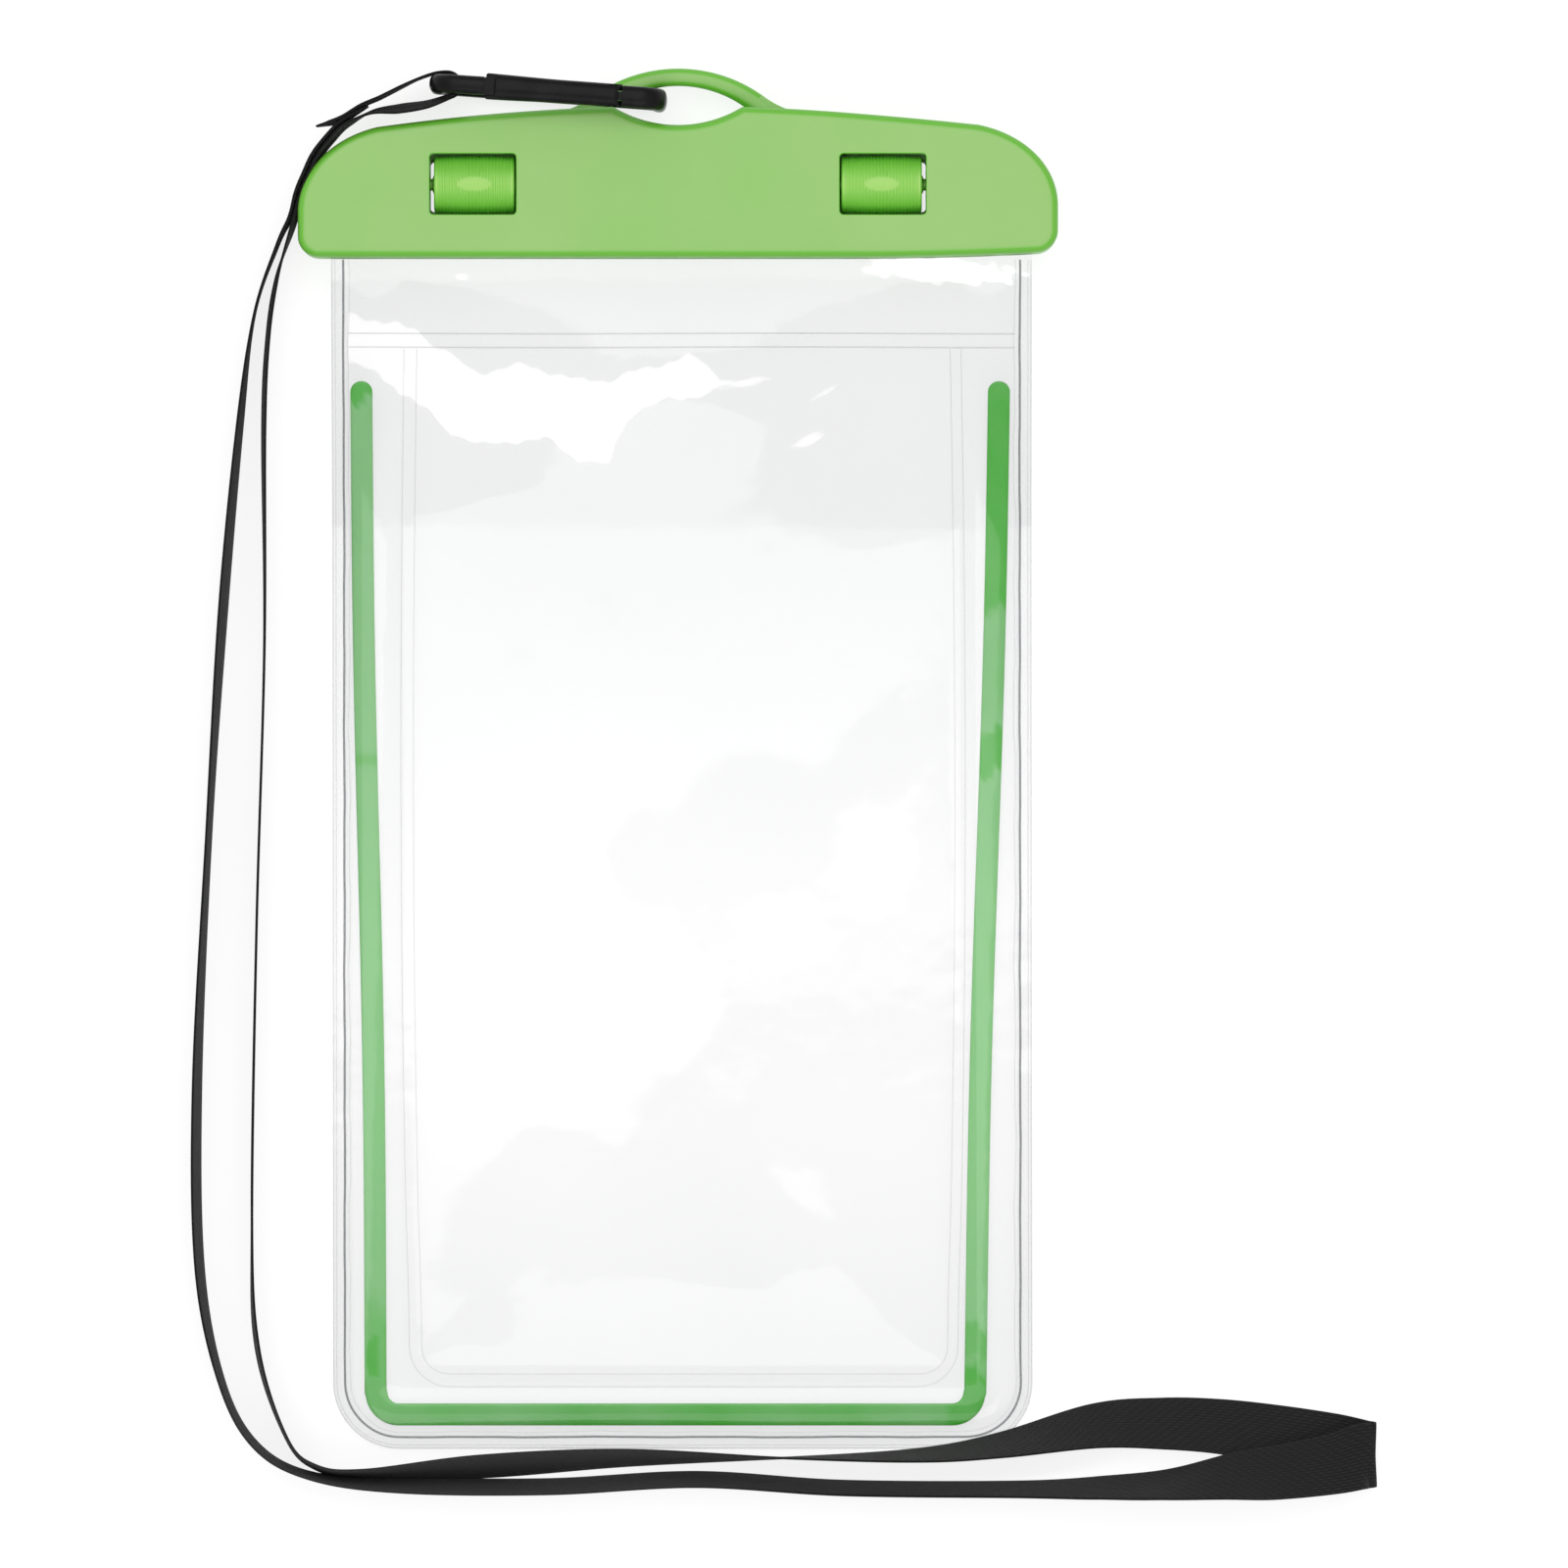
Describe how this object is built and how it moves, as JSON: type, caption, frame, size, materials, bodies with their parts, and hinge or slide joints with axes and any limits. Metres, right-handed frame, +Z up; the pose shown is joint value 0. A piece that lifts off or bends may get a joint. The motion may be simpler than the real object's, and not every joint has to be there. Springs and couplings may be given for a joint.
{
  "type": "waterproof phone pouch",
  "caption": "Clear welded waterproof phone pouch with a clamp bar closed by turning barrel locks, a glow strip along its border and a webbing lanyard on a spring hook.",
  "frame": {"origin": "under the middle of the pouch, on the surface it lies on", "axes": "+X across the pouch to the image's right, +Y along it to the lanyard loop, +Z up out of its front face"},
  "size_m": [0.1815, 0.2194, 0.0173],
  "materials": {
    "clamp": "moulded green plastic, soft gloss",
    "knob": "moulded deeper green plastic",
    "film": "clear flexible film",
    "glow": "milky green strip",
    "seal": "soft white foam rubber",
    "hook": "black coated metal",
    "webbing": "flat woven webbing"
  },
  "bodies": {
    "pouch": {"rear_jaw": "clamp", "back_film": "film", "front_film": "film", "glow_strip": "glow", "rear_seal": "seal", "hook_frame": "hook", "gate_pin": "hook", "lanyard_strap": "webbing"},
    "front_clamp": {"front_jaw": "clamp", "front_collar_film": "film", "front_seal": "seal"},
    "left_lock": {"left_knob": "knob"},
    "right_lock": {"right_knob": "knob"},
    "gate": {"hook_gate": "hook"}
  },
  "joints": [
    {"name": "jaw_swing", "type": "hinge", "parent": "pouch", "child": "front_clamp", "pos_m": [0, 0.06405, 0.00658], "axis": [1, 0, 0], "range_deg": [0, 30]},
    {"name": "left_knob_turn", "type": "hinge", "parent": "front_clamp", "child": "left_lock", "pos_m": [-0.0313, 0.0877, 0.0074], "axis": [1, 0, 0], "range_deg": [0, 80]},
    {"name": "right_knob_turn", "type": "hinge", "parent": "front_clamp", "child": "right_lock", "pos_m": [0.0313, 0.0877, 0.0074], "axis": [1, 0, 0], "range_deg": [0, 80]},
    {"name": "hook_gate_swing", "type": "hinge", "parent": "pouch", "child": "gate", "pos_m": [-0.00993, 0.10103, 0.0161], "axis": [-0.0732, -0.9973, 0], "range_deg": [0, 28], "stiffness_Nm_per_rad": 0.002}
  ]
}
